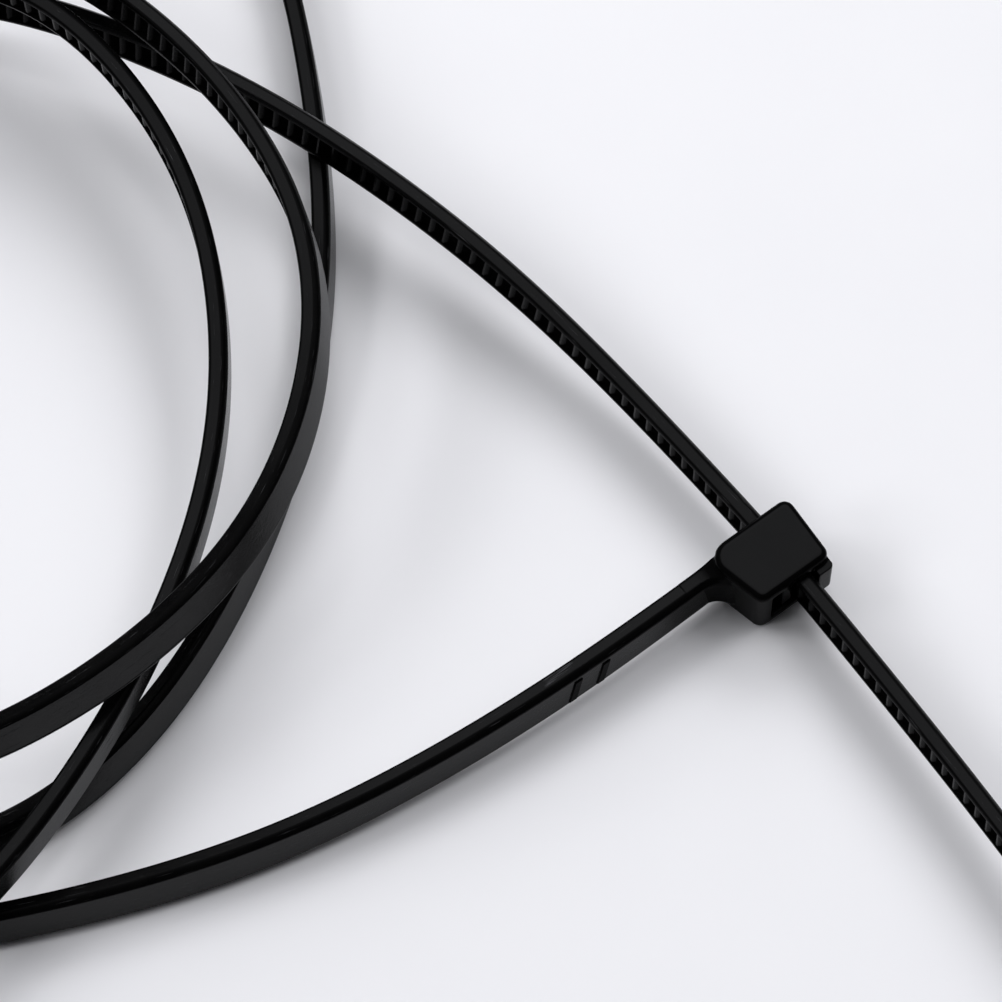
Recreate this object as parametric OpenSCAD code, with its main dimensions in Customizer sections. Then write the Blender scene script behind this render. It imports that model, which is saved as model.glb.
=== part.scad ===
// Miniature cable tie: head, strap and tail moulded in one piece, lying in loose coils on its edge.
// The origin is on the table under the middle of the head. X runs along the head from the strap's
// root to the free end of the head, Y against the way the strap is pulled through, and Z is up.

/* [Strap] */
// Width of the strap, which stands upright in the coil
strap_w = 2.5; // [2.2:0.1:2.8]
// Thickness of the strap
strap_t = 1.1; // [1:0.05:1.2]
// Bevel along the two outer edges of the strap
edge_bevel = 0.3; // [0.15:0.05:0.35]
// Spare height between two strands that cross
layer_gap = 0.4; // [0.3:0.05:0.6]
// Spacing of the grid that the coils are laid out on
grid_pitch = 0.5; // [0.5:0.01:0.54]

/* [Teeth] */
// Distance from one tooth to the next
tooth_pitch = 1.02; // [0.96:0.02:1.2]
// Depth of the track that the teeth stand in
tooth_depth = 0.4; // [0.3:0.05:0.45]
// Length of the steep side of a tooth along the strap
tooth_steep = 0.15; // [0.1:0.05:0.25]
// Width of the smooth rail on each side of the teeth
rail_w = 0.3; // [0.25:0.05:0.4]
// Smooth length between the head and the first tooth
plain_run = 18; // [10:1:30]

/* [Tail] */
// Number of teeth between the head and the pointed end
tail_teeth = 22; // [15:1:24]
// Length of the pointed end
tip_length = 12; // [8:1:14]
// Width of the strap at the very end
tip_w = 1.4; // [1:0.1:1.8]
// Number of grip ribs on each face of the pointed end
grip_ribs = 6; // [3:1:7]

/* [Head] */
// Length of the head, measured along the strap's root
head_l = 5.6; // [5.3:0.1:6]
// Depth of the head, measured the way the strap is pulled through
head_d = 4.3; // [4.1:0.1:4.7]
// Wall above and below the slot
head_wall = 0.8; // [0.6:0.05:1]
// How much shorter the head is on the side where the tail comes out
head_slant = 1; // [0.6:0.1:1.2]
// Radius of the head's upright corners
corner_r = 0.6; // [0.4:0.05:0.7]
// Radius of the corner above the strap's root
shoulder_r = 1.2; // [0.8:0.1:1.4]
// Radius of the head's other edges
edge_r = 0.4; // [0.3:0.05:0.6]

/* [Locking slot] */
// Gap between the strap and the slot on every side
slot_gap = 0.15; // [0.1:0.01:0.2]
// Distance from the middle of the head to the middle of the slot
slot_x = 0.75; // [0.7:0.05:0.85]
// Thickness of the pawl
pawl_t = 0.8; // [0.7:0.05:0.9]
// Free space behind the pawl, into which it springs back
pawl_space = 0.7; // [0.55:0.05:0.8]
// Number of teeth on the pawl
pawl_teeth = 2; // [1:1:2]
// Height of the lip that guides the tail out of the slot
lip_h = 0.45; // [0.3:0.05:0.5]

/* [Hidden] */

layer = strap_w + layer_gap;
head_w = strap_w + 2 * (slot_gap + head_wall);
mid_z = head_w / 2;
head_level = (mid_z - strap_w / 2) / layer;
far_x = head_l / 2;
track_w = strap_w - 2 * rail_w;
// The teeth end just under the smooth rails.
crest_drop = 0.05;
// Teeth that share one pair of outlines.
block = 3;

// The strap's root reaches into the head, this far inside the face where the strap goes in.
root_inset = 0.4;
root_reach = 0.6;
root_y = head_d / 2 - root_inset - strap_t / 2;
root_x = root_reach - far_x;
// The strap already leans where it leaves the head.
root_lean = 7;
root_level = (mid_z - half_rise(root_lean)) / layer;

// The route of the strap's middle. Each point is [x, y, layer, lean]: steps of the coil's grid, the
// number of strands underneath, and the lean of the strap's upper edge into the coil in degrees.
root_run = [
    [-28, 2, 0.25, 14],
    [-50, 4, 0.1, 14],
    [-70, 8, 0, 22],
    [-93, 17, 0, 22],
    [-113, 28, 0, 20],
];
first_turn = [
    [-124, 45, 0, 18],
    [-127, 66, 0, 14],
    [-122, 87, 0, 10],
    [-109, 107, 0, 6],
    [-91, 123, 0, 4],
    [-69, 133, 0, 2],
    [-43, 137, 0, 2],
    [-18, 134, 0, 2],
    [1, 125, 0, 2],
    [7, 109, 0, 2],
    [-2, 86, 0, 4],
    [-18, 58, 0, 8],
    [-40, 39, 0, 18],
    [-65, 26, 0, 26],
    [-89, 24, 0, 32],
    [-107, 35, 0, 30],
];
second_turn = [
    [-116, 48, 0.1, 24],
    [-116, 70, 0.4, 18],
    [-107, 93, 0.9, 14],
    [-90, 112, 1.5, 10],
    [-68, 123, 2, 8],
    [-45, 122, 2, 6],
    [-28, 109, 2, 4],
    [-24, 90, 1.9, 4],
    [-27, 69, 1.6, 2],
    [-41, 47, 1, 4],
    [-63, 31, 1, 6],
    [-89, 20, 1, 8],
    [-112, 17, 1, 10],
    [-128, 24, 1, 10],
];
third_turn = [
    [-137, 41, 1.1, 8],
    [-139, 64, 1.2, 4],
    [-132, 88, 1.4, 0],
    [-119, 111, 1.6, -4],
    [-101, 130, 1.8, -8],
    [-80, 140, 2, -12],
    [-58, 140, 2, -14],
    [-39, 130, 2, -16],
    [-24, 112, 2, -16],
    [-16, 87, 2, -8],
    [-18, 60, 2, 8],
    [-33, 41, 2, 24],
    [-53, 31, 2, 32],
    [-80, 30, 2, 32],
    [-100, 37, 2, 30],
    [-109, 51, 1.9, 28],
];
last_run = [
    [-107, 71, 1.6, 24],
    [-95, 93, 1.3, 16],
    [-76, 112, 1.1, 8],
    [-55, 122, 1, 2],
    [-37, 118, 1, -2],
    [-23, 101, 1, -8],
    [-11, 77, 1, -8],
    [-3, 49, 0.7, -6],
];
// The part that is pulled through the slot, counted from the middle of the slot.
pulled_run = [
    [-1.6, 28, head_level, 0],
    [-0.6, 13, head_level, 0],
    [0.1, 0, head_level, 0],
    [0.1, -13, head_level, 0],
    [-0.2, -34, 0.4, 0],
    [-1.4, -54, 0.6, 0],
    [-2, -74, 0.8, 0],
];
function from_x(x, p) = [x + p.x * grid_pitch, p.y * grid_pitch, p[2], p[3]];
route = concat(
    [[root_x, root_y, root_level, root_lean]],
    [for (p = concat(root_run, first_turn, second_turn, third_turn, last_run)) from_x(0, p)],
    [for (p = pulled_run) from_x(slot_x, p)]
);
last = len(route) - 1;
slot_point = last - 4;

// The route is a smooth curve drawn by its points, a uniform cubic B-spline.
function route_point(i) =
    i < 0 ? 2 * route[0] - route[1]
    : i > last ? 2 * route[last] - route[last - 1]
    : route[i];
function blend(i, w) = [for (k = [0 : 3]) w[k]] * [for (k = [0 : 3]) route_point(i - 1 + k)];
function span(u) = max(0, min(floor(u), last - 1));
function along(u) =
    let (i = span(u), f = u - i)
    blend(i, [(1 - f) ^ 3, 3 * f ^ 3 - 6 * f ^ 2 + 4, 1 + 3 * f + 3 * f ^ 2 - 3 * f ^ 3, f ^ 3] / 6);
function slope(u) =
    let (i = span(u), f = u - i)
    blend(i, [-(1 - f) ^ 2, 3 * f ^ 2 - 4 * f, 1 + 2 * f - 3 * f ^ 2, f ^ 2] / 2);

function unit(v) = v / norm(v);
// Half the height that a leaning strap takes up.
function half_rise(lean) = (strap_w * cos(lean) + strap_t * abs(sin(lean))) / 2;
function middle(u) =
    let (q = along(u))
    [q.x, q.y, q[2] * layer + half_rise(q[3])];
function heading(u) =
    let (d = slope(u))
    unit([d.x, d.y, d[2] * layer]);
// A frame is [place, way along the strap, way out of the coil, way across the strap].
function frame(u) =
    let (
        d = heading(u),
        level = unit([-d.y, d.x, 0]),
        upright = cross(d, level),
        lean = along(u)[3]
    )
    [middle(u), d, level * cos(lean) + upright * sin(lean), upright * cos(lean) - level * sin(lean)];
function place(f, n, w) = f[0] + n * f[2] + w * f[3];

// Length along the strap against the number of the route point.
steps = 8;
length_table = [
    for (
        k = 0, s = 0;
        k <= last * steps;
        s = s + norm(middle((k + 1) / steps) - middle(k / steps)), k = k + 1
    )
    [s, k / steps]
];
point_table = [for (row = length_table) [row[1], row[0]]];
function frame_at(s) = frame(lookup(s, length_table));

// Teeth are counted from the one that the pawl holds, in whole blocks that share one outline.
held_s = lookup(slot_point, point_table);
blocks_before = floor((held_s - plain_run) / tooth_pitch / block);
blocks_after = ceil(tail_teeth / block);
blocks = blocks_before + blocks_after;
teeth = blocks * block;
first_s = held_s - blocks_before * block * tooth_pitch;
end_s = first_s + teeth * tooth_pitch;
plain_rings = ceil(plain_run / (block * tooth_pitch));
// Smooth strap between the last tooth and the pointed end.
end_plain = 1;

half_w = strap_w / 2;
half_t = strap_t / 2;
floor_n = tooth_depth - half_t;
crest_n = crest_drop - half_t;
outline = [
    [-half_t, -half_w],
    [half_t - edge_bevel, -half_w],
    [half_t, edge_bevel - half_w],
    [half_t, half_w - edge_bevel],
    [half_t - edge_bevel, half_w],
    [-half_t, half_w],
    [-half_t, track_w / 2],
    [-half_t, -track_w / 2],
];
sides = len(outline);

// Every length along the strap at which a full outline stands.
ring_lengths = concat(
    [for (k = [0 : plain_rings - 1]) first_s * k / plain_rings],
    [for (k = [0 : blocks]) first_s + k * block * tooth_pitch],
    [end_s + end_plain]
);
rings = len(ring_lengths);
first_ring = plain_rings;
last_ring = plain_rings + blocks;
ring_points = [for (s = ring_lengths) let (f = frame_at(s)) for (p = outline) place(f, p.x, p.y)];

// Four points a tooth: the root and the crest, each on the upper and the lower side of the track.
tooth_points = [
    for (k = [0 : teeth])
    let (
        s = first_s + k * tooth_pitch,
        root = frame_at(s),
        crest = frame_at(s + tooth_steep)
    )
    each [
        place(root, floor_n, track_w / 2),
        place(root, floor_n, -track_w / 2),
        place(crest, crest_n, track_w / 2),
        place(crest, crest_n, -track_w / 2)
    ]
];
function ring(k, i) = k * sides + i % sides;
function tooth(k, i) = rings * sides + 4 * k + i;

outer_faces = [
    for (k = [0 : rings - 2], i = [0 : 4])
    [ring(k, i), ring(k + 1, i), ring(k + 1, i + 1), ring(k, i + 1)]
];
rail_faces = [
    for (k = [first_ring : last_ring - 1], i = [5, 7])
    [ring(k, i), ring(k + 1, i), ring(k + 1, i + 1), ring(k, i + 1)]
];
smooth_faces = [
    for (k = [0 : rings - 2])
    if (k < first_ring || k >= last_ring)
    for (i = [5, 6, 7])
    [ring(k, i), ring(k + 1, i), ring(k + 1, i + 1), ring(k, i + 1)]
];
tooth_faces = [
    for (k = [0 : teeth - 1])
    each [
        [tooth(k, 0), tooth(k, 2), tooth(k, 3), tooth(k, 1)],
        [tooth(k, 2), tooth(k + 1, 0), tooth(k + 1, 1), tooth(k, 3)]
    ]
];
// The side of the track: i is 0 on the upper side and 1 on the lower one.
function wall(b, i) =
    let (
        near = ring(first_ring + b, 6 + i),
        far = ring(first_ring + b + 1, 6 + i),
        t = b * block,
        end = tooth(t + block, i)
    )
    concat(
        [[near, tooth(t, 2 + i), tooth(t, i)], [near, far, tooth(t, 2 + i)]],
        [
            for (k = [t : t + block - 2])
            each [
                [tooth(k, 2 + i), tooth(k + 1, 2 + i), tooth(k + 1, i)],
                [far, tooth(k + 1, 2 + i), tooth(k, 2 + i)]
            ]
        ],
        [[far, end, tooth(t + block - 1, 2 + i)]]
    );
function flipped(faces) = [for (f = faces) [f[2], f[1], f[0]]];
upper_walls = [for (b = [0 : blocks - 1]) each wall(b, 0)];
lower_walls = flipped([for (b = [0 : blocks - 1]) each wall(b, 1)]);
track_ends = [
    [ring(first_ring, 6), tooth(0, 0), tooth(0, 1), ring(first_ring, 7)],
    [ring(last_ring, 7), tooth(teeth, 1), tooth(teeth, 0), ring(last_ring, 6)]
];
caps = [
    [for (i = [0 : sides - 1]) ring(0, i)],
    [for (i = [sides - 1 : -1 : 0]) ring(rings - 1, i)]
];

module strap() {
    polyhedron(
        points = concat(ring_points, tooth_points),
        faces = concat(
            outer_faces, rail_faces, smooth_faces, tooth_faces,
            upper_walls, lower_walls, track_ends, caps
        )
    );
}

// Moves a piece drawn along +X, with +Y out of the coil, to a length along the strap.
module on_strap(s) {
    f = frame_at(s);
    multmatrix([
        [f[1].x, f[2].x, f[3].x, f[0].x],
        [f[1].y, f[2].y, f[3].y, f[0].y],
        [f[1].z, f[2].z, f[3].z, f[0].z],
        [0, 0, 0, 1]
    ])
    children();
}

// A polygon whose corners are rounded: each point is [x, y, radius].
function rounded(points, arc_steps = 5) = [
    for (i = [0 : len(points) - 1])
    let (
        n = len(points),
        p = [points[i].x, points[i].y],
        before = points[(i + n - 1) % n],
        after = points[(i + 1) % n],
        a = unit([before.x, before.y] - p),
        b = unit([after.x, after.y] - p),
        half = acos(a * b) / 2,
        r = points[i][2],
        c = p + unit(a + b) * r / sin(half)
    )
    for (k = [0 : arc_steps])
    let (
        start = p + a * r / tan(half) - c,
        stop = p + b * r / tan(half) - c
    )
    c + r * unit(start + (stop - start) * k / arc_steps)
];

// Draws an XZ outline that reaches from y = -reach to y = reach.
module through_y(reach) {
    translate([0, reach, 0])
    rotate([90, 0, 0])
    linear_extrude(2 * reach)
    children();
}

// Draws a YZ outline that reaches from x = -reach to x = reach.
module through_x(reach) {
    translate([-reach, 0, 0])
    rotate([90, 0, 90])
    linear_extrude(2 * reach)
    children();
}

// The free end of the head slants less than the end with the strap's root.
far_slant = 0.2;
half_d = head_d / 2;
near_x = -far_x - head_slant / 2;

module head_block() {
    arc_steps = 4;
    hull()
    for (k = [0 : arc_steps])
    let (
        angle = 90 * k / arc_steps,
        inset = edge_r * (1 - sin(angle)),
        level = edge_r * (1 - cos(angle))
    )
    translate([0, 0, level])
    linear_extrude(head_w - 2 * level)
    offset(delta = -inset)
    polygon(rounded([
        [near_x, half_d, shoulder_r],
        [near_x + head_slant, -half_d, corner_r],
        [far_x - far_slant, -half_d, corner_r],
        [far_x, half_d, corner_r]
    ]));
}

// The strap's root widens into the head, with a hollow curve on the outside of the bend.
neck_l = 1.4;
neck_flare = 0.3;
// Pieces of the one moulding run into each other by this much.
overlap = 0.02;

// Drawn round the middle of the strap's root and then leaned over with the strap.
module neck() {
    start_x = near_x + head_slant / 2 - neck_l;
    curve_steps = 6;
    curve_angle = 66;
    translate([0, root_y, mid_z])
    rotate([-root_lean, 0, 0])
    intersection() {
        translate([0, 0, -head_w / 2])
        linear_extrude(head_w)
        polygon(concat(
            [[root_x, half_t - overlap], [start_x, half_t - overlap], [start_x, overlap - half_t]],
            [
                for (k = [0 : curve_steps])
                let (angle = curve_angle * k / curve_steps)
                [start_x + neck_l * sin(angle), -half_t - neck_l * (1 - cos(angle))]
            ],
            [[root_x, -half_t - neck_l / 2]]
        ));
        through_y(head_l)
        polygon([
            [start_x, overlap - half_w],
            [-far_x, -half_w - neck_flare],
            [root_x, -half_w - neck_flare],
            [root_x, half_w + neck_flare],
            [-far_x, half_w + neck_flare],
            [start_x, half_w - overlap]
        ]);
    }
}

slot_min = slot_x - half_t - slot_gap;
slot_max = slot_x + half_t + slot_gap;
slot_half = half_w + slot_gap;
pawl_back = slot_min - pawl_t;
space_back = pawl_back - pawl_space;
hinge_y = head_d / 4;
// The opening widens by this much where the strap goes in.
lead = 0.25;
lead_y = half_d - lead;

module slot() {
    reach = head_d;
    translate([slot_min, -reach, mid_z - slot_half])
    cube([slot_max - slot_min, 2 * reach, 2 * slot_half]);
    intersection() {
        linear_extrude(head_w)
        polygon([
            [slot_min, lead_y],
            [slot_max, lead_y],
            [slot_max + 2 * lead, lead_y + 2 * lead],
            [slot_min - 2 * lead, lead_y + 2 * lead]
        ]);
        through_x(head_l)
        polygon([
            [lead_y, mid_z - slot_half],
            [lead_y + 2 * lead, mid_z - slot_half - 2 * lead],
            [lead_y + 2 * lead, mid_z + slot_half + 2 * lead],
            [lead_y, mid_z + slot_half]
        ]);
    }
    // the room that the pawl stands in, open where the tail comes out
    translate([space_back, -reach, mid_z - slot_half])
    cube([slot_min - space_back + overlap, reach + hinge_y, 2 * slot_half]);
}

// The wall that the strap is pressed against stands out past the head on the tail's side.
module lip() {
    lip_r = 0.3;
    inset = 0.05;
    lip_l = far_x - far_slant - inset - slot_max;
    root = corner_r + inset - half_d;
    translate([slot_max, 0, mid_z - slot_half])
    linear_extrude(2 * slot_half)
    polygon(rounded([
        [0, root, overlap],
        [0, -half_d - lip_h, overlap],
        [lip_l, -half_d - lip_h, lip_r],
        [lip_l, root, overlap]
    ]));
}

// The pawl is one with the head at its hinge and free where the tail comes out.
module pawl() {
    end_inset = 0.15;
    taper = 0.1;
    tooth_room = 0.1;
    tooth_flat = 0.08;
    tooth_l = tooth_pitch * 0.75;
    play = 0.06;
    free_y = end_inset - half_d;
    body_w = strap_w - slot_gap;
    teeth_w = track_w - slot_gap;
    bite = slot_gap + tooth_depth - tooth_room;
    translate([0, 0, mid_z - body_w / 2])
    linear_extrude(body_w)
    polygon([
        [pawl_back - taper, hinge_y + taper],
        [pawl_back, hinge_y - taper],
        [pawl_back + taper, free_y],
        [slot_min, free_y],
        [slot_min, hinge_y + taper]
    ]);
    for (k = [0 : pawl_teeth - 1])
    translate([slot_min, play - k * tooth_pitch, mid_z - teeth_w / 2])
    linear_extrude(teeth_w)
    polygon([
        [-taper, -tooth_steep],
        [0, -tooth_steep],
        [bite, 0],
        [bite, tooth_flat],
        [slot_gap, tooth_l],
        [-taper, tooth_l]
    ]);
}

// The plain pointed end, with ribs that fingers can grip.
module tip() {
    tip_t = strap_t - 0.15;
    inset = 0.05;
    shoulder = 1;
    end_r = 0.4;
    rib_h = 0.12;
    rib_l = 0.5;
    rib_start = 1.5;
    rib_step = tip_length * 0.7 / grip_ribs;
    on_strap(end_s + end_plain)
    union() {
        translate([0, tip_t / 2, 0])
        rotate([90, 0, 0])
        linear_extrude(tip_t)
        polygon(rounded([
            [-end_plain / 2, inset - half_w, overlap],
            [shoulder, inset - half_w, shoulder],
            [tip_length, -tip_w / 2, end_r],
            [tip_length, tip_w / 2, end_r],
            [shoulder, half_w - inset, shoulder],
            [-end_plain / 2, half_w - inset, overlap]
        ]));
        for (k = [0 : grip_ribs - 1])
        translate([rib_start + k * rib_step, 0, 0])
        cube([rib_l, tip_t + 2 * rib_h, tip_w], center = true);
    }
}

module cable_tie() {
    color([0.07, 0.07, 0.08])
    union() {
        strap();
        tip();
        neck();
        difference() {
            head_block();
            slot();
        }
        lip();
        pawl();
    }
}

cable_tie();
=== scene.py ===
"""Cable tie lying in loose coils: the visual model, its material, floor, light and camera."""
import math

import bpy
import numpy as np
from mathutils import Matrix, Vector


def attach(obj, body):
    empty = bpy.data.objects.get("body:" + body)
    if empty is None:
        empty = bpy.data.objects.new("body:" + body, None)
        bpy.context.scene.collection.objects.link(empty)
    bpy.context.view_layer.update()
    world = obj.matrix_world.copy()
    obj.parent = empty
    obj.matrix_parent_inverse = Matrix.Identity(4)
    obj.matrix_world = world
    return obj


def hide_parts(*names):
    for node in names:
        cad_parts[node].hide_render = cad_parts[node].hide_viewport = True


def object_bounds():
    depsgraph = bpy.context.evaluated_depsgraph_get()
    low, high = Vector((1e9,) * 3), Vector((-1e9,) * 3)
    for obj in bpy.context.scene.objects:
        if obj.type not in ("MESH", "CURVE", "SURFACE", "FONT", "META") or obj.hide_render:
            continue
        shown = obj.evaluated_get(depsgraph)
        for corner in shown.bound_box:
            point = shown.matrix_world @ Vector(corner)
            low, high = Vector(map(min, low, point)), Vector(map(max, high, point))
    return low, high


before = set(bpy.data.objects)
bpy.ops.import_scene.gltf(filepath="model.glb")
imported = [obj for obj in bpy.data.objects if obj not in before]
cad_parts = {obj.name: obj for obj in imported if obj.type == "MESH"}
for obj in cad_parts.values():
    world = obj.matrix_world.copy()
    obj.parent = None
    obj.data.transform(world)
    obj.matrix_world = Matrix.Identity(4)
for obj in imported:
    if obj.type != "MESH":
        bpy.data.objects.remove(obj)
cad_box = [list(corner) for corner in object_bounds()]
MM = 0.001
UP = Vector((0, 0, 1))

# Camera: it looks down at 68 degrees, with the picture's right along RIGHT.
TARGET = Vector((-9.66, 12.40, 1.67)) * MM
RIGHT = Vector((0.8, -0.6, 0.0))
AHEAD = Vector((0.6, 0.8, 0.0))
ELEVATION = math.radians(68)
DISTANCE = 330 * MM
LENS = 208.67

back = UP * math.sin(ELEVATION) - AHEAD * math.cos(ELEVATION)
up = AHEAD * math.sin(ELEVATION) + UP * math.cos(ELEVATION)
eye = TARGET + back * DISTANCE
camera_data = bpy.data.cameras.new("camera")
camera_data.sensor_width = 36
camera_data.lens = LENS
camera_data.clip_start = 0.01
camera_data.clip_end = 10
camera = bpy.data.objects.new("camera", camera_data)
bpy.context.scene.collection.objects.link(camera)
camera.matrix_world = Matrix(
    [(RIGHT[i], up[i], back[i], eye[i]) for i in range(3)] + [(0, 0, 0, 1)])
bpy.context.scene.camera = camera

# Sizes, in millimetres, as in the part's source.
STRAP_W = 2.5
STRAP_T = 1.1
BEVEL = 0.3
LAYER = STRAP_W + 0.4
PITCH = 1.02
TOOTH_DEPTH = 0.4
TOOTH_STEEP = 0.15
RAIL_W = 0.3
PLAIN_RUN = 18.0
TAIL_TEETH = 22
TIP_L = 12.0
TIP_W = 1.4
HEAD_L = 5.6
HEAD_D = 4.3
HEAD_WALL = 0.8
SLANT = 1.0
FAR_SLANT = 0.2
CORNER_R = 0.6
SHOULDER_R = 1.2
EDGE_R = 0.4
SLOT_GAP = 0.15
SLOT_X = 0.75
PAWL_T = 0.8
PAWL_SPACE = 0.7
LIP_H = 0.45
HALF_W = STRAP_W / 2
HALF_T = STRAP_T / 2
HALF_D = HEAD_D / 2
HEAD_W = STRAP_W + 2 * (SLOT_GAP + HEAD_WALL)
MID_Z = HEAD_W / 2
HEAD_LEVEL = (MID_Z - HALF_W) / LAYER
FAR_X = HEAD_L / 2
NEAR_X = -FAR_X - SLANT / 2
ROOT_X = 0.6 - FAR_X
ROOT_Y = HALF_D - 0.4 - HALF_T
ROOT_LEAN = 7.0
ROOT_LEVEL = (MID_Z - (STRAP_W * math.cos(math.radians(ROOT_LEAN))
                       + STRAP_T * math.sin(math.radians(ROOT_LEAN))) / 2) / LAYER

# The finer shapes of this model alone, also in millimetres: first the strap's section.
EDGE_ROUND = 0.14  # the inner side's rounded edge, and its middle point
EDGE_MIDDLE = 0.04
CREASE = (0.05, 0.04, 0.03, 0.06)  # the bevel's two softened creases
FLAT_EDGE = 0.06  # a second point this far on keeps each flat flat
TOOTH_DRAFT = 0.04
MARGIN = 0.01
SHARP = math.radians(32)
PLAIN_RINGS = 50
# One tooth has a steep face, a narrow crest and a long ramp: shares of the pitch and of the depth.
TOOTH_PLACES = (0.0, 0.85 * TOOTH_STEEP, 1.7 * TOOTH_STEEP, 0.5, 0.97)
TOOTH_DEPTHS = (1.0, 0.16, 0.14, 0.52, 1.0)
END_STEP = 0.1

# A worn place on the strap's upper edge, painted lighter as a scratch that also stands in for its
# glints as painted highlight, and two bars on its back: places along the strap.
GLINT_SCRATCH_S = 11.4
GLINT_SCRATCH_L = 1.8
BARS_S = (9.1, 11.0)
BAR_PROFILE = ((-0.3, 0.0), (-0.22, 0.09), (0.22, 0.09), (0.3, 0.0))
BAR_ACROSS = (-0.9, -0.82, 0.62, 0.7)
BAR_SLANT = 0.45

# The neck, where the strap's root widens into the head.
NECK_L = 1.4
NECK_FLARE = 0.3
NECK_LEAD = 0.5
NECK_TURN = math.radians(66)
NECK_RINGS = 40
NECK_BLEND = (-0.8, 0.3)
NECK_PROUD = 0.02

# The head's corners, lip, pawl and joining.
CORNER_STEPS = 6
BEVEL_STEPS = 6
BEVELLED = math.radians(60)
LEAD = 0.25
LEAD_FLARE = 0.5
LIP_R = 0.3
LIP_SHARP = 0.02
LIP_INSET = 0.05
OVERLAP = 0.1
PAWL_SHORT = 0.15
BITES = 2
BITE_Y = 0.06
BITE_CREST = 0.08
BITE_BACK = 0.75
BITE_CLEAR = 0.1
VOXEL = 0.06
SMOOTH_STEPS = 5

# The tip and its grip ribs.
TIP_STEP = 0.125
TIP_SINK = 0.5
TIP_SIDES = 24
TIP_SQUARENESS = 0.35
TIP_THINNER = 0.15
TIP_INSET = 0.05
TIP_END = (0.02, -0.3)
TIP_TAPER = 0.4
RIBS = 6
RIB_START = 1.5
RIB_RUN = 0.7 * TIP_L
RIB_H = 0.12
RIB_REACH = 0.32
RIB_SLOPE = 0.1
RIB_SHARE = 0.75

# Painted shade, from 0 to 1, that turns the reflections down where the tie reads dark: on the inner
# and the outer side for places along the strap, and on bevels, bars and the head's sides.
INNER_SHADE = ([0, 60, 170, 190], [0.9, 0.995, 0.995, 0.9])
BACK_SHADE = ([4, 6, 70, 90, 160, 170, 200, 215], [0.8, 0.3, 0.3, 0, 0, 0.3, 0.3, 0])
BEVEL_SHADE = 0.8
BARS_SHADE = 0.9
HEAD_SHADE = 0.93
LEVEL_NORMAL = 0.995
LEVEL_BLEND = 0.03

# The route of the strap's middle: x, y, layer, lean.
ROUTE = np.array([
    [ROOT_X, ROOT_Y, ROOT_LEVEL, ROOT_LEAN], [-14, 1, 0.25, 14], [-25, 2, 0.1, 14],
    [-35, 4, 0, 22], [-46.5, 8.5, 0, 22], [-56.5, 14, 0, 20],
    [-62, 22.5, 0, 18], [-63.5, 33, 0, 14], [-61, 43.5, 0, 10], [-54.5, 53.5, 0, 6],
    [-45.5, 61.5, 0, 4], [-34.5, 66.5, 0, 2], [-21.5, 68.5, 0, 2], [-9, 67, 0, 2],
    [0.5, 62.5, 0, 2], [3.5, 54.5, 0, 2], [-1, 43, 0, 4], [-9, 29, 0, 8],
    [-20, 19.5, 0, 18], [-32.5, 13, 0, 26], [-44.5, 12, 0, 32], [-53.5, 17.5, 0, 30],
    [-58, 24, 0.1, 24], [-58, 35, 0.4, 18], [-53.5, 46.5, 0.9, 14], [-45, 56, 1.5, 10],
    [-34, 61.5, 2, 8], [-22.5, 61, 2, 6], [-14, 54.5, 2, 4], [-12, 45, 1.9, 4],
    [-13.5, 34.5, 1.6, 2], [-20.5, 23.5, 1, 4], [-31.5, 15.5, 1, 6], [-44.5, 10, 1, 8],
    [-56, 8.5, 1, 10], [-64, 12, 1, 10],
    [-68.5, 20.5, 1.1, 8], [-69.5, 32, 1.2, 4], [-66, 44, 1.4, 0], [-59.5, 55.5, 1.6, -4],
    [-50.5, 65, 1.8, -8], [-40, 70, 2, -12], [-29, 70, 2, -14], [-19.5, 65, 2, -16],
    [-12, 56, 2, -16], [-8, 43.5, 2, -8], [-9, 30, 2, 8], [-16.5, 20.5, 2, 24],
    [-26.5, 15.5, 2, 32], [-40, 15, 2, 32], [-50, 18.5, 2, 30], [-54.5, 25.5, 1.9, 28],
    [-53.5, 35.5, 1.6, 24], [-47.5, 46.5, 1.3, 16], [-38, 56, 1.1, 8], [-27.5, 61, 1, 2],
    [-18.5, 59, 1, -2], [-11.5, 50.5, 1, -8], [-5.5, 38.5, 1, -8], [-1.5, 24.5, 0.7, -6],
    [SLOT_X - 0.8, 14, HEAD_LEVEL, 0], [SLOT_X - 0.3, 6.5, HEAD_LEVEL, 0],
    [SLOT_X + 0.05, 0, HEAD_LEVEL, 0], [SLOT_X + 0.05, -6.5, HEAD_LEVEL, 0],
    [SLOT_X - 0.1, -17, 0.4, 0], [SLOT_X - 0.7, -27, 0.6, 0], [SLOT_X - 1, -37, 0.8, 0],
])
LAST = len(ROUTE) - 1
SLOT_POINT = LAST - 4


def weighted(u, weights):
    """The spline at each u, from the four weights of a uniform cubic B-spline."""
    ends = np.vstack([2 * ROUTE[0] - ROUTE[1], ROUTE, 2 * ROUTE[-1] - ROUTE[-2]])
    i = np.clip(np.floor(u).astype(int), 0, LAST - 1)
    w = weights(u - i)
    return sum(w[k][:, None] * ends[i + k] for k in range(4))


def along(u):
    """The route's four values at each u."""
    return weighted(u, lambda f: (
        (1 - f) ** 3 / 6, (3 * f ** 3 - 6 * f ** 2 + 4) / 6,
        (1 + 3 * f + 3 * f ** 2 - 3 * f ** 3) / 6, f ** 3 / 6))


def slope(u):
    """How fast those four values change at each u."""
    return weighted(u, lambda f: (
        -(1 - f) ** 2 / 2, (3 * f ** 2 - 4 * f) / 2, (1 + 2 * f - 3 * f ** 2) / 2, f ** 2 / 2))


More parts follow.
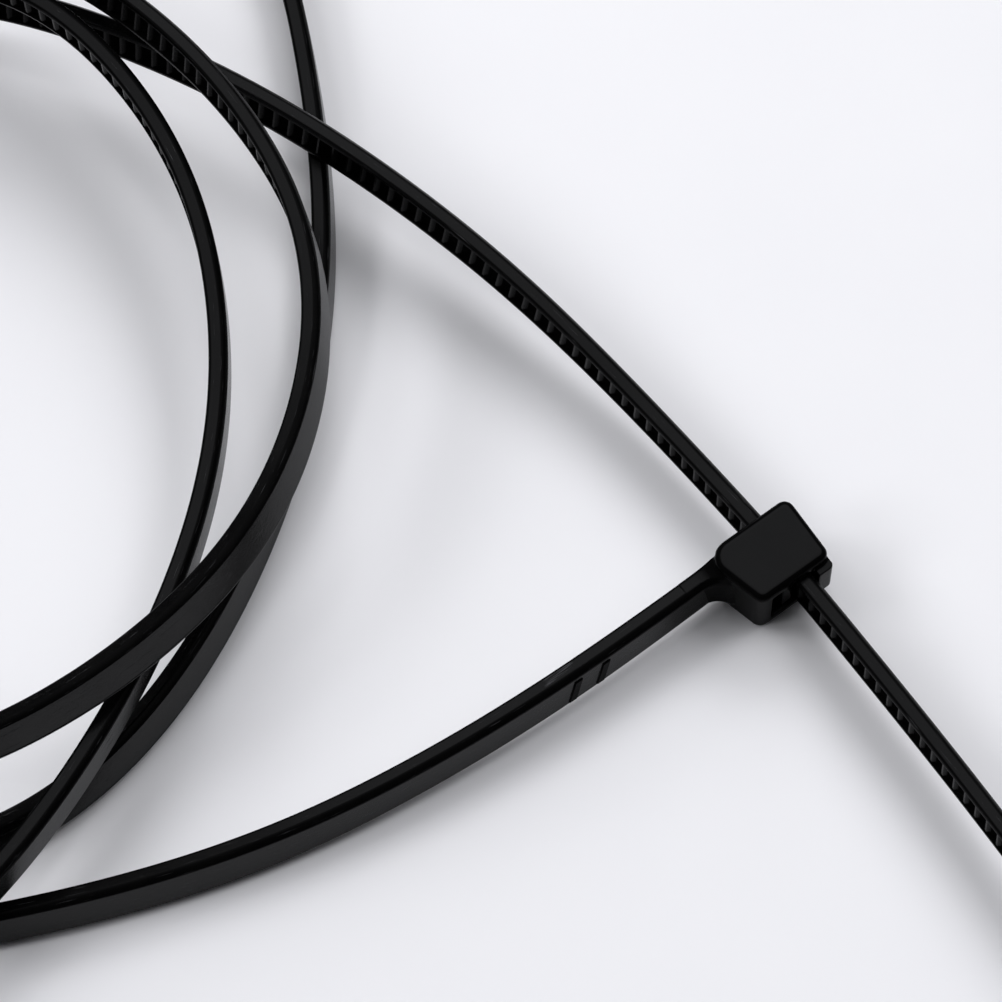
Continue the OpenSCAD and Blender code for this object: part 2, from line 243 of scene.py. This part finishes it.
def middle(u):
    """The strap's middle at each u, so high that its lower edge rests on its layer."""
    q = along(u)
    lean = np.radians(q[:, 3])
    rise = (STRAP_W * np.cos(lean) + STRAP_T * np.abs(np.sin(lean))) / 2
    return np.column_stack([q[:, 0], q[:, 1], q[:, 2] * LAYER + rise])


def normed(v):
    return v / np.linalg.norm(v, axis=1)[:, None]


STEPS = 8
TABLE_U = np.arange(LAST * STEPS + 1) / STEPS
TABLE_S = np.concatenate(
    [[0], np.cumsum(np.linalg.norm(np.diff(middle(TABLE_U), axis=0), axis=1))])


def frames(s):
    """At each length s of the strap: its middle, and the ways along, out of the coil and across."""
    s = np.atleast_1d(np.asarray(s, float))
    u = np.interp(s, TABLE_S, TABLE_U)
    d = slope(u)
    d = normed(np.column_stack([d[:, 0], d[:, 1], d[:, 2] * LAYER]))
    level = normed(np.column_stack([-d[:, 1], d[:, 0], 0 * d[:, 0]]))
    upright = np.cross(d, level)
    lean = np.radians(along(u)[:, 3])[:, None]
    return (middle(u), d, level * np.cos(lean) + upright * np.sin(lean),
            upright * np.cos(lean) - level * np.sin(lean))


HELD_S = float(np.interp(SLOT_POINT, TABLE_U, TABLE_S))
TEETH_BEFORE = 3 * int((HELD_S - PLAIN_RUN) / PITCH / 3)
TEETH = TEETH_BEFORE + 3 * math.ceil(TAIL_TEETH / 3)
FIRST_S = HELD_S - TEETH_BEFORE * PITCH
END_S = FIRST_S + TEETH * PITCH
TIP_S = END_S + 1.0


def linked(name, mesh):
    """A new object in the scene with this mesh."""
    obj = bpy.data.objects.new(name, mesh)
    bpy.context.scene.collection.objects.link(obj)
    return obj


def make_object(name, points, faces, uvs=None):
    """A smooth-shaded mesh from points in millimetres."""
    mesh = bpy.data.meshes.new(name)
    mesh.from_pydata((np.asarray(points) * MM).tolist(), [], faces)
    mesh.polygons.foreach_set("use_smooth", [True] * len(mesh.polygons))
    mesh.set_sharp_from_angle(angle=SHARP)
    if uvs is not None:
        layer = mesh.uv_layers.new(name="along")
        corner = np.empty(len(mesh.loops), int)
        mesh.loops.foreach_get("vertex_index", corner)
        layer.data.foreach_set("uv", np.asarray(uvs)[corner].ravel())
    mesh.update()
    return linked(name, mesh)


def mark(obj, name, shares):
    """Keeps a value from 0 to 1 for each vertex, which the material reads by this name."""
    marks = obj.data.attributes.new(name, "FLOAT", "POINT")
    marks.data.foreach_set("value", np.asarray(shares, np.float32).ravel())


def grid_faces(rings, sides):
    """The faces of a closed tube of rings, with both its ends."""
    a = np.arange(rings - 1)[:, None] * sides
    i = np.arange(sides)[None, :]
    j = (i + 1) % sides
    faces = np.stack([a + i, a + j, a + sides + j, a + sides + i], -1).reshape(-1, 4).tolist()
    return faces + [list(range(sides))[::-1], [(rings - 1) * sides + k for k in range(sides)]]


def section():
    """The strap's outline as (out, across, depth in the track), from the inner side's middle."""
    track = HALF_W - RAIL_W
    low, high, bevel_low, bevel_in = -HALF_T, HALF_T, HALF_T - BEVEL, HALF_W - BEVEL
    half = [
        (low, 0.0, 1.0), (low, track - TOOTH_DRAFT, 1.0), (low, track, 0.0),
        (low, HALF_W - EDGE_ROUND, 0.0), (low + EDGE_MIDDLE, HALF_W - EDGE_MIDDLE, 0.0),
        (low + EDGE_ROUND, HALF_W, 0.0), (low + EDGE_ROUND + FLAT_EDGE, HALF_W, 0.0),
        (0.0, HALF_W, 0.0),
        (bevel_low - CREASE[0] - FLAT_EDGE, HALF_W, 0.0), (bevel_low - CREASE[0], HALF_W, 0.0),
        (bevel_low + CREASE[1], HALF_W - CREASE[2], 0.0),
        (high - CREASE[2], bevel_in + CREASE[1], 0.0),
        (high, bevel_in - CREASE[3], 0.0), (high, bevel_in - CREASE[3] - FLAT_EDGE, 0.0),
        (high, 0.0, 0.0),
    ]
    # the other half runs back down the lower side
    return np.array(half + [(out, -across, depth) for out, across, depth in reversed(half[1:-1])])


def make_strap():
    """The strap from the head's root to the tip: a plain run, the teeth and a short plain end."""
    outline = section()
    sides = len(outline)
    plain = np.linspace(0, FIRST_S, PLAIN_RINGS)[:-1]
    teeth = FIRST_S + np.arange(TEETH)[:, None] * PITCH + np.array(TOOTH_PLACES) * PITCH
    s = np.concatenate([plain, teeth.ravel(), [END_S, END_S + END_STEP, TIP_S]])
    cut = TOOTH_DEPTH * np.concatenate(
        [np.zeros(len(plain)), np.tile(TOOTH_DEPTHS, TEETH), [1.0, 0.0, 0.0]])
    p, d, out, across = frames(s)
    n = outline[None, :, 0] + outline[None, :, 2] * cut[:, None]
    points = (p[:, None] + n[..., None] * out[:, None]
              + outline[None, :, 1, None] * across[:, None])
    points = np.clip(points, *np.array(cad_box) / MM)
    around = np.concatenate([[0], np.cumsum(np.hypot(*np.diff(outline[:, :2], axis=0).T))])
    uv = np.stack(np.broadcast_arrays(s[:, None], around[None, :]), -1).reshape(-1, 2)
    strap = make_object("strap", points.reshape(-1, 3), grid_faces(len(s), sides), uv)

    # painted shade: the reflections are turned down on the bevels, the inner side, the back near
    # the root, along stretches of the coil and on the teeth's ramps
    height, width = outline[:, 0], np.abs(outline[:, 1])
    bevel = BEVEL_SHADE * ((height > HALF_T - BEVEL - CREASE[0] - MARGIN)
                          & (width > HALF_W - BEVEL - CREASE[3] - MARGIN))[None, :]
    inner = np.interp(s, *INNER_SHADE)[:, None] * (height < EDGE_ROUND + MARGIN - HALF_T)[None, :]
    outer = np.interp(s, *BACK_SHADE)[:, None] * (height > HALF_T - MARGIN)[None, :]
    ramp = (cut > 0.5 * TOOTH_DEPTH)[:, None] & (outline[:, 2] > 0)[None, :]
    mark(strap, "reflection_shade", np.where(ramp, 1.0, np.maximum(outer, np.maximum(inner, bevel))))
    side = ((height > EDGE_ROUND + MARGIN - HALF_T) & (height < MARGIN)
            & (outline[:, 1] > HALF_W - MARGIN))
    # the worn place: real wear, painted lighter so that it also shows painted glints
    mark(strap, "worn_glint", (np.abs(s - GLINT_SCRATCH_S) < GLINT_SCRATCH_L / 2)[:, None] & side[None, :])
    return strap


def make_bars():
    """Plain raised bars on the back of the strap, near its root."""
    profile = np.array(BAR_PROFILE)
    width = np.array(BAR_ACROSS)
    count = len(profile) * len(width)
    raised = np.array([0, 1, 1, 0])
    points, faces = [], []
    for k, s in enumerate(BARS_S):
        p, d, out, across = frames(s)
        rise = HALF_T + profile[None, :, 1] * raised[:, None]
        slant = profile[None, :, 0] - BAR_SLANT * width[:, None]
        grid = (p[0] + slant[..., None] * d[0] + rise[..., None] * out[0]
                + width[:, None, None] * across[0])
        faces += [[k * count + i for i in face] for face in grid_faces(len(width), len(profile))]
        points.append(grid.reshape(-1, 3))
    bars = make_object("bars", np.concatenate(points), faces)
    # painted shade: the bars' reflections are turned down
    mark(bars, "reflection_shade", np.full(count * len(BARS_S), BARS_SHADE))
    return bars


def rounded(points):
    """A polygon whose corners are rounded: each point is (x, y, radius)."""
    out = []
    for i, (x, y, r) in enumerate(points):
        p = np.array([x, y])
        a = np.array(points[i - 1][:2]) - p
        b = np.array(points[(i + 1) % len(points)][:2]) - p
        a, b = a / np.linalg.norm(a), b / np.linalg.norm(b)
        half = math.acos(float(a @ b)) / 2
        c = p + (a + b) / np.linalg.norm(a + b) * r / math.sin(half)
        start, stop = p + a * r / math.tan(half) - c, p + b * r / math.tan(half) - c
        for k in range(CORNER_STEPS + 1):
            v = start + (stop - start) * k / CORNER_STEPS
            out.append(c + v / np.linalg.norm(v) * r)
    return np.array(out)


def closed_mesh(name, points, faces):
    """A closed mesh in millimetres, left unscaled, with all its normals pointing out."""
    mesh = bpy.data.meshes.new(name)
    mesh.from_pydata(points.tolist(), [], faces)
    obj = linked(name, mesh)
    bpy.context.view_layer.objects.active = obj
    bpy.ops.object.select_all(action="DESELECT")
    obj.select_set(True)
    bpy.ops.object.mode_set(mode="EDIT")
    bpy.ops.mesh.select_all(action="SELECT")
    bpy.ops.mesh.normals_make_consistent(inside=False)
    bpy.ops.object.mode_set(mode="OBJECT")
    return obj


def prism(name, polygon, low, high):
    """A closed upright prism in millimetres, left unscaled."""
    polygon = np.asarray(polygon, float)
    count = len(polygon)
    points = np.concatenate(
        [np.column_stack([polygon, np.full(count, level)]) for level in (low, high)])
    faces = [list(range(count))[::-1], list(range(count, 2 * count))]
    faces += [[k, (k + 1) % count, count + (k + 1) % count, count + k] for k in range(count)]
    return closed_mesh(name, points, faces)


def applied(obj):
    """Bakes the object's modifiers into its mesh."""
    bpy.context.view_layer.update()
    evaluated = obj.evaluated_get(bpy.context.evaluated_depsgraph_get())
    mesh = bpy.data.meshes.new_from_object(evaluated)
    obj.modifiers.clear()
    obj.data = mesh


def cut_out(obj, tool):
    """Takes the tool's shape out of the object, and removes the tool."""
    modifier = obj.modifiers.new("cut", "BOOLEAN")
    modifier.operation = "DIFFERENCE"
    modifier.solver = "EXACT"
    modifier.object = tool
    applied(obj)
    bpy.data.objects.remove(tool)


def rectangle(x0, y0, x1, y1):
    return [(x0, y0), (x1, y0), (x1, y1), (x0, y1)]


def make_neck():
    """The strap's root, which widens into the head's side and curves out to its slanted face."""
    outline = section()[None]
    start = NEAR_X + SLANT / 2 - NECK_L
    x = np.concatenate(
        [[start - 2 * NECK_LEAD], np.linspace(start - NECK_LEAD, ROOT_X, NECK_RINGS)])
    run = np.clip((x - start) / NECK_L, 0, math.sin(NECK_TURN))
    proud = np.interp(x, [start + NECK_BLEND[0], start + NECK_BLEND[1]], [-NECK_PROUD, NECK_PROUD])
    swell = NECK_L * (1 - np.sqrt(1 - run ** 2)) + proud
    flare = NECK_FLARE * np.clip((x - start) / (-FAR_X - start), 0, 1) ** 2 + proud
    out = outline[..., 0] + swell[:, None] * (outline[..., 0] > 0)
    across = outline[..., 1] * (1 + flare / HALF_W)[:, None]
    points = np.stack(np.broadcast_arrays(x[:, None], -out, across), -1)
    neck = closed_mesh("neck", points.reshape(-1, 3), grid_faces(*points.shape[:2]))
    neck.data.transform(Matrix.Translation((0, ROOT_Y, MID_Z))
                        @ Matrix.Rotation(-math.radians(ROOT_LEAN), 4, "X"))
    return neck


def make_head():
    """The locking head: a rounded block with its slot, pawl and lip, joined by the neck."""
    block = prism("head", rounded([
        (NEAR_X, HALF_D, SHOULDER_R), (NEAR_X + SLANT, -HALF_D, CORNER_R),
        (FAR_X - FAR_SLANT, -HALF_D, CORNER_R), (FAR_X, HALF_D, CORNER_R)]), 0, HEAD_W)
    bevel = block.modifiers.new("bevel", "BEVEL")
    bevel.width = EDGE_R
    bevel.segments = BEVEL_STEPS
    bevel.limit_method = "ANGLE"
    bevel.angle_limit = BEVELLED
    applied(block)

    slot_min, slot_max = SLOT_X - HALF_T - SLOT_GAP, SLOT_X + HALF_T + SLOT_GAP
    half = HALF_W + SLOT_GAP
    low, high = MID_Z - half, MID_Z + half
    pawl_back = slot_min - PAWL_T
    hinge = HEAD_D / 4
    lead_y = HALF_D - LEAD
    slot = rectangle(slot_min, -HEAD_D, slot_max, HEAD_D)
    room = rectangle(pawl_back - PAWL_SPACE, -HEAD_D, slot_min + OVERLAP, hinge)
    lead = [(slot_min, lead_y), (slot_max, lead_y),
            (slot_max + LEAD_FLARE, lead_y + LEAD_FLARE),
            (slot_min - LEAD_FLARE, lead_y + LEAD_FLARE)]
    for name, polygon in (("slot", slot), ("room", room), ("lead", lead)):
        cut_out(block, prism(name, polygon, low, high))

    # the pieces below only overlap the block; the remesh that follows joins them
    lip_x = FAR_X - FAR_SLANT - LIP_INSET
    lip_y = -HALF_D - LIP_H
    lip = prism("lip", rounded([
        (slot_max, CORNER_R - HALF_D, LIP_SHARP), (slot_max, lip_y, LIP_SHARP),
        (lip_x, lip_y, LIP_R), (lip_x, CORNER_R - HALF_D, LIP_SHARP)]), low, high)
    pawl_w = HALF_W - SLOT_GAP / 2
    free = PAWL_SHORT - HALF_D
    pawl = prism("pawl", [
        (pawl_back - OVERLAP, hinge + OVERLAP), (pawl_back, hinge - OVERLAP),
        (pawl_back + OVERLAP, free), (slot_min, free), (slot_min, hinge + OVERLAP),
    ], MID_Z - pawl_w, MID_Z + pawl_w)
    pieces = [block, lip, make_neck(), pawl]
    bite_w = HALF_W - RAIL_W - SLOT_GAP / 2
    reach = slot_min + SLOT_GAP + TOOTH_DEPTH - BITE_CLEAR
    for k in range(BITES):
        y = BITE_Y - k * PITCH
        pieces.append(prism("bite", [
            (slot_min - OVERLAP, y - TOOTH_STEEP), (slot_min, y - TOOTH_STEEP), (reach, y),
            (reach, y + BITE_CREST), (slot_min + SLOT_GAP, y + BITE_BACK),
            (slot_min - OVERLAP, y + BITE_BACK)], MID_Z - bite_w, MID_Z + bite_w))
    bpy.ops.object.select_all(action="DESELECT")
    for piece in pieces:
        piece.select_set(True)
    bpy.context.view_layer.objects.active = block
    bpy.ops.object.join()
    remesh = block.modifiers.new("remesh", "REMESH")
    remesh.mode = "VOXEL"
    remesh.voxel_size = VOXEL
    remesh.use_smooth_shade = True
    smooth = block.modifiers.new("smooth", "SMOOTH")
    smooth.factor = 0.5
    smooth.iterations = SMOOTH_STEPS
    applied(block)

    block.data.transform(Matrix.Scale(MM, 4))
    block.data.polygons.foreach_set("use_smooth", [True] * len(block.data.polygons))
    normals = np.empty(3 * len(block.data.vertices))
    block.data.vertices.foreach_get("normal", normals)
    # painted shade: the reflections are turned down on the slanted sides and rounded edges, so only
    # the level top and bottom are glossy
    slanted = np.clip((LEVEL_NORMAL - np.abs(normals[2::3])) / LEVEL_BLEND, 0, 1)
    mark(block, "reflection_shade", HEAD_SHADE * slanted)
    return block


def make_tip():
    """The pointed end with its grip ribs, straight on from the end of the strap."""
    length = np.concatenate(
        [[-TIP_SINK], np.linspace(0, 1, 4), np.arange(1 + 2 * TIP_STEP, TIP_L + MARGIN, TIP_STEP)])
    half = np.interp(length, [0, 1, TIP_L - TIP_TAPER, TIP_L],
                     [HALF_W - TIP_INSET] * 2 + [TIP_W / 2 + end for end in TIP_END])
    ribs = RIB_START + np.arange(RIBS) * RIB_RUN / RIBS
    near = np.min(np.abs(length[:, None] - ribs[None, :]), axis=1)
    rib = RIB_H * np.clip((RIB_REACH - near) / RIB_SLOPE, 0, 1)
    turn = 2 * math.pi * (np.arange(TIP_SIDES) + 0.5) / TIP_SIDES
    outline = np.column_stack([np.cos(turn), np.sin(turn)])
    outline = np.sign(outline) * np.abs(outline) ** TIP_SQUARENESS
    w = outline[None, :, 1] * half[:, None]
    ribbed = np.abs(w) < RIB_SHARE * TIP_W / 2
    n = outline[None, :, 0] * ((STRAP_T - TIP_THINNER) / 2 + rib[:, None] * ribbed)
    p, d, out, across = frames(TIP_S)
    points = (p[0] + length[:, None, None] * d[0] + n[..., None] * out[0]
              + w[..., None] * across[0])
    uv = np.stack(np.broadcast_arrays(
        TIP_S + length[:, None], np.linspace(0, 6, TIP_SIDES)[None, :]), -1)
    return make_object("tip", points.reshape(-1, 3), grid_faces(*n.shape), uv.reshape(-1, 2))


def node(tree, kind, **values):
    """A new node; a value whose name is a socket's goes to that socket, any other to a setting."""
    n = tree.nodes.new(kind)
    for key, value in values.items():
        if key in n.inputs:
            n.inputs[key].default_value = value
        else:
            setattr(n, key, value)
    return n


def noise(tree, place, **values):
    """Noise at a place, as a socket."""
    n = node(tree, "ShaderNodeTexNoise", **values)
    tree.links.new(place, n.inputs["Vector"])
    return n.outputs["Fac"]


def ranged(tree, value, **ends):
    """A value mapped from one range to another, as a socket."""
    named = {key.replace("_", " "): end for key, end in ends.items()}
    n = node(tree, "ShaderNodeMapRange", **named)
    tree.links.new(value, n.inputs["Value"])
    return n.outputs["Result"]


def maths(tree, operation, value, *numbers):
    """A value with numbers added, multiplied and so on, as a socket."""
    n = node(tree, "ShaderNodeMath", operation=operation)
    tree.links.new(value, n.inputs[0])
    for k, number in enumerate(numbers):
        n.inputs[k + 1].default_value = number
    return n.outputs["Value"]


def ramped(tree, value, stops):
    """A value turned into colours by a ramp of (position, colour), as a socket."""
    n = node(tree, "ShaderNodeValToRGB")
    elements = n.color_ramp.elements
    while len(elements) < len(stops):
        elements.new(0.5)
    for element, (position, colour) in zip(elements, stops):
        element.position = position
        element.color = (*colour, 1)
    tree.links.new(value, n.inputs["Fac"])
    return n.outputs["Color"]


def nylon():
    """Black moulded nylon: a faint mottle, fine grain, lighter scuffs along the strap with painted
    glints at the worn place, and painted shade that turns its reflections down.
    """
    material = bpy.data.materials.new("nylon")
    material.use_nodes = True
    tree = material.node_tree
    link = tree.links.new
    shader = tree.nodes["Principled BSDF"]
    shader.inputs["IOR"].default_value = 1.5
    # the level where the link to it, made below, is dropped
    shader.inputs["Specular IOR Level"].default_value = 0.45
    place = node(tree, "ShaderNodeTexCoord").outputs
    mottle = noise(tree, place["Object"], Scale=350.0, Detail=5.0, Roughness=0.6)
    fine = noise(tree, place["Object"], Scale=6000.0, Detail=3.0, Roughness=0.55)

    # scuffs: noise stretched along the strap, and more of them at the worn place, where their
    # lighter colour also paints the scratch's glints
    stretch = node(tree, "ShaderNodeMapping", Scale=(0.35, 9.0, 1.0))
    link(place["UV"], stretch.inputs["Vector"])
    streaks = noise(tree, stretch.outputs["Vector"], Scale=1.0, Detail=6.0, Roughness=0.65)
    worn_glint = node(tree, "ShaderNodeAttribute", attribute_name="worn_glint")
    more = node(tree, "ShaderNodeMath", operation="MULTIPLY_ADD")
    more.inputs[1].default_value = 0.15
    link(worn_glint.outputs["Fac"], more.inputs[0])
    link(streaks, more.inputs[2])
    scuffs_and_glints = ranged(tree, more.outputs["Value"], From_Min=0.62, From_Max=0.74)

    black = ramped(tree, mottle, ((0.3, (0.0012, 0.0012, 0.0013)), (0.7, (0.0021, 0.0021, 0.0021))))
    colour = node(tree, "ShaderNodeMix", data_type="RGBA")
    factor, plain, scuff_and_glint = colour.inputs[0], colour.inputs[6], colour.inputs[7]
    # the scuffs' lighter colour, which at the worn place is also a painted highlight
    scuff_and_glint.default_value = (0.07, 0.07, 0.075, 1)
    link(maths(tree, "MULTIPLY", scuffs_and_glints, 0.6), factor)
    link(black, plain)
    link(colour.outputs[2], shader.inputs["Base Color"])
    link(ranged(tree, mottle, To_Min=0.17, To_Max=0.30), shader.inputs["Roughness"])
    # painted shade: the marked places lose their reflection
    reflection_shade = node(tree, "ShaderNodeAttribute", attribute_name="reflection_shade")
    link(ranged(tree, reflection_shade.outputs["Fac"], To_Min=0.3, To_Max=0.0),
         shader.inputs["Specular IOR Level"])

    grain = node(tree, "ShaderNodeBump", Strength=0.25, Distance=0.00003)
    link(fine, grain.inputs["Height"])
    scratches = node(tree, "ShaderNodeBump", Strength=0.3, Distance=0.00003)
    link(scuffs_and_glints, scratches.inputs["Height"])
    link(grain.outputs["Normal"], scratches.inputs["Normal"])
    link(scratches.outputs["Normal"], shader.inputs["Normal"])
    return material


def floor_material():
    """Pale board with a very faint grain."""
    material = bpy.data.materials.new("floor")
    material.use_nodes = True
    tree = material.node_tree
    shader = tree.nodes["Principled BSDF"]
    shader.inputs["Roughness"].default_value = 0.7
    shader.inputs["Specular IOR Level"].default_value = 0.2
    place = node(tree, "ShaderNodeTexCoord").outputs["Object"]
    grain = noise(tree, place, Scale=90.0, Detail=4.0)
    tree.links.new(ramped(tree, grain, ((0.0, (0.80, 0.80, 0.825)), (1.0, (0.83, 0.83, 0.85)))),
                   shader.inputs["Base Color"])
    return material


black_nylon = nylon()
for piece in (make_strap(), make_bars(), make_head(), make_tip()):
    piece.data.materials.clear()
    piece.data.materials.append(black_nylon)
    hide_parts("cable_tie")
    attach(piece, "root")

FLOOR_HALF = 3
FLOOR_Z = -0.00002
floor_mesh = bpy.data.meshes.new("floor")
floor_mesh.from_pydata(
    [(x, y, FLOOR_Z) for x, y in rectangle(-FLOOR_HALF, -FLOOR_HALF, FLOOR_HALF, FLOOR_HALF)],
    [], [(0, 1, 2, 3)])
floor_mesh.materials.append(floor_material())
floor = linked("floor", floor_mesh)

# Soft lamps on a dome round the coils: elevation, turn from straight ahead, power.
# They light the tie without being mirrored in it.
LAMPS = [
    (20, -60, 1.0), (20, -30, 0.65), (20, 0, 0.95),
    (38, -80, 1.65), (38, -50, 0.25), (38, 0, 1.4), (38, 25, 1.3), (38, 50, 0.4), (38, 75, 0.35),
    (55, -60, 0.75), (55, 60, 1.1), (75, 0, 0.45), (35, -110, 1.3),
]
LAMP_REACH = 0.85
LAMP_SIZE = 0.30
LAMP_COLOUR = (0.985, 0.985, 1.0)
CENTRE = Vector((-0.02, 0.02, 0))
for elevation, turn, power in LAMPS:
    rise, azimuth = math.radians(elevation), math.radians(turn)
    level = RIGHT * math.sin(azimuth) + AHEAD * math.cos(azimuth)
    outwards = level * math.cos(rise) + UP * math.sin(rise)
    data = bpy.data.lights.new(f"lamp_{elevation}_{turn}", "AREA")
    data.shape = "DISK"
    data.size = LAMP_SIZE
    data.energy = power
    data.color = LAMP_COLOUR
    lamp = linked(data.name, data)
    lamp.visible_glossy = False
    lamp.location = CENTRE + outwards * LAMP_REACH
    lamp.rotation_euler = (-outwards).to_track_quat("-Z", "Y").to_euler()

# The world is a dim tent of light, brightest high up on the far side and dark round the horizon:
# two directions, and for each the strength at some cosines of the angle to it.
TENT = (
    (UP, ((0.3, 0.0), (0.93, 1.0))),
    (AHEAD, ((-0.3, 0.05), (0.15, 0.47), (0.38, 0.5), (0.72, 1.0), (0.95, 0.45))),
)
TENT_COLOUR = (0.95, 0.96, 1.0, 1)
world = bpy.data.worlds.new("world")
bpy.context.scene.world = world
world.use_nodes = True
tent = world.node_tree
direction = node(tent, "ShaderNodeTexCoord").outputs["Generated"]
strength = node(tent, "ShaderNodeMath", operation="MULTIPLY")
for k, (axis, stops) in enumerate(TENT):
    cosine = node(tent, "ShaderNodeVectorMath", operation="DOT_PRODUCT")
    cosine.inputs[1].default_value = axis
    tent.links.new(direction, cosine.inputs[0])
    share = ramped(tent, maths(tent, "MULTIPLY_ADD", cosine.outputs["Value"], 0.5, 0.5),
                   [((where + 1) / 2, (amount,) * 3) for where, amount in stops])
    tent.links.new(share, strength.inputs[k])
tent.links.new(strength.outputs["Value"], tent.nodes["Background"].inputs["Strength"])
tent.nodes["Background"].inputs["Color"].default_value = TENT_COLOUR

bpy.context.scene.view_settings.view_transform = "Standard"
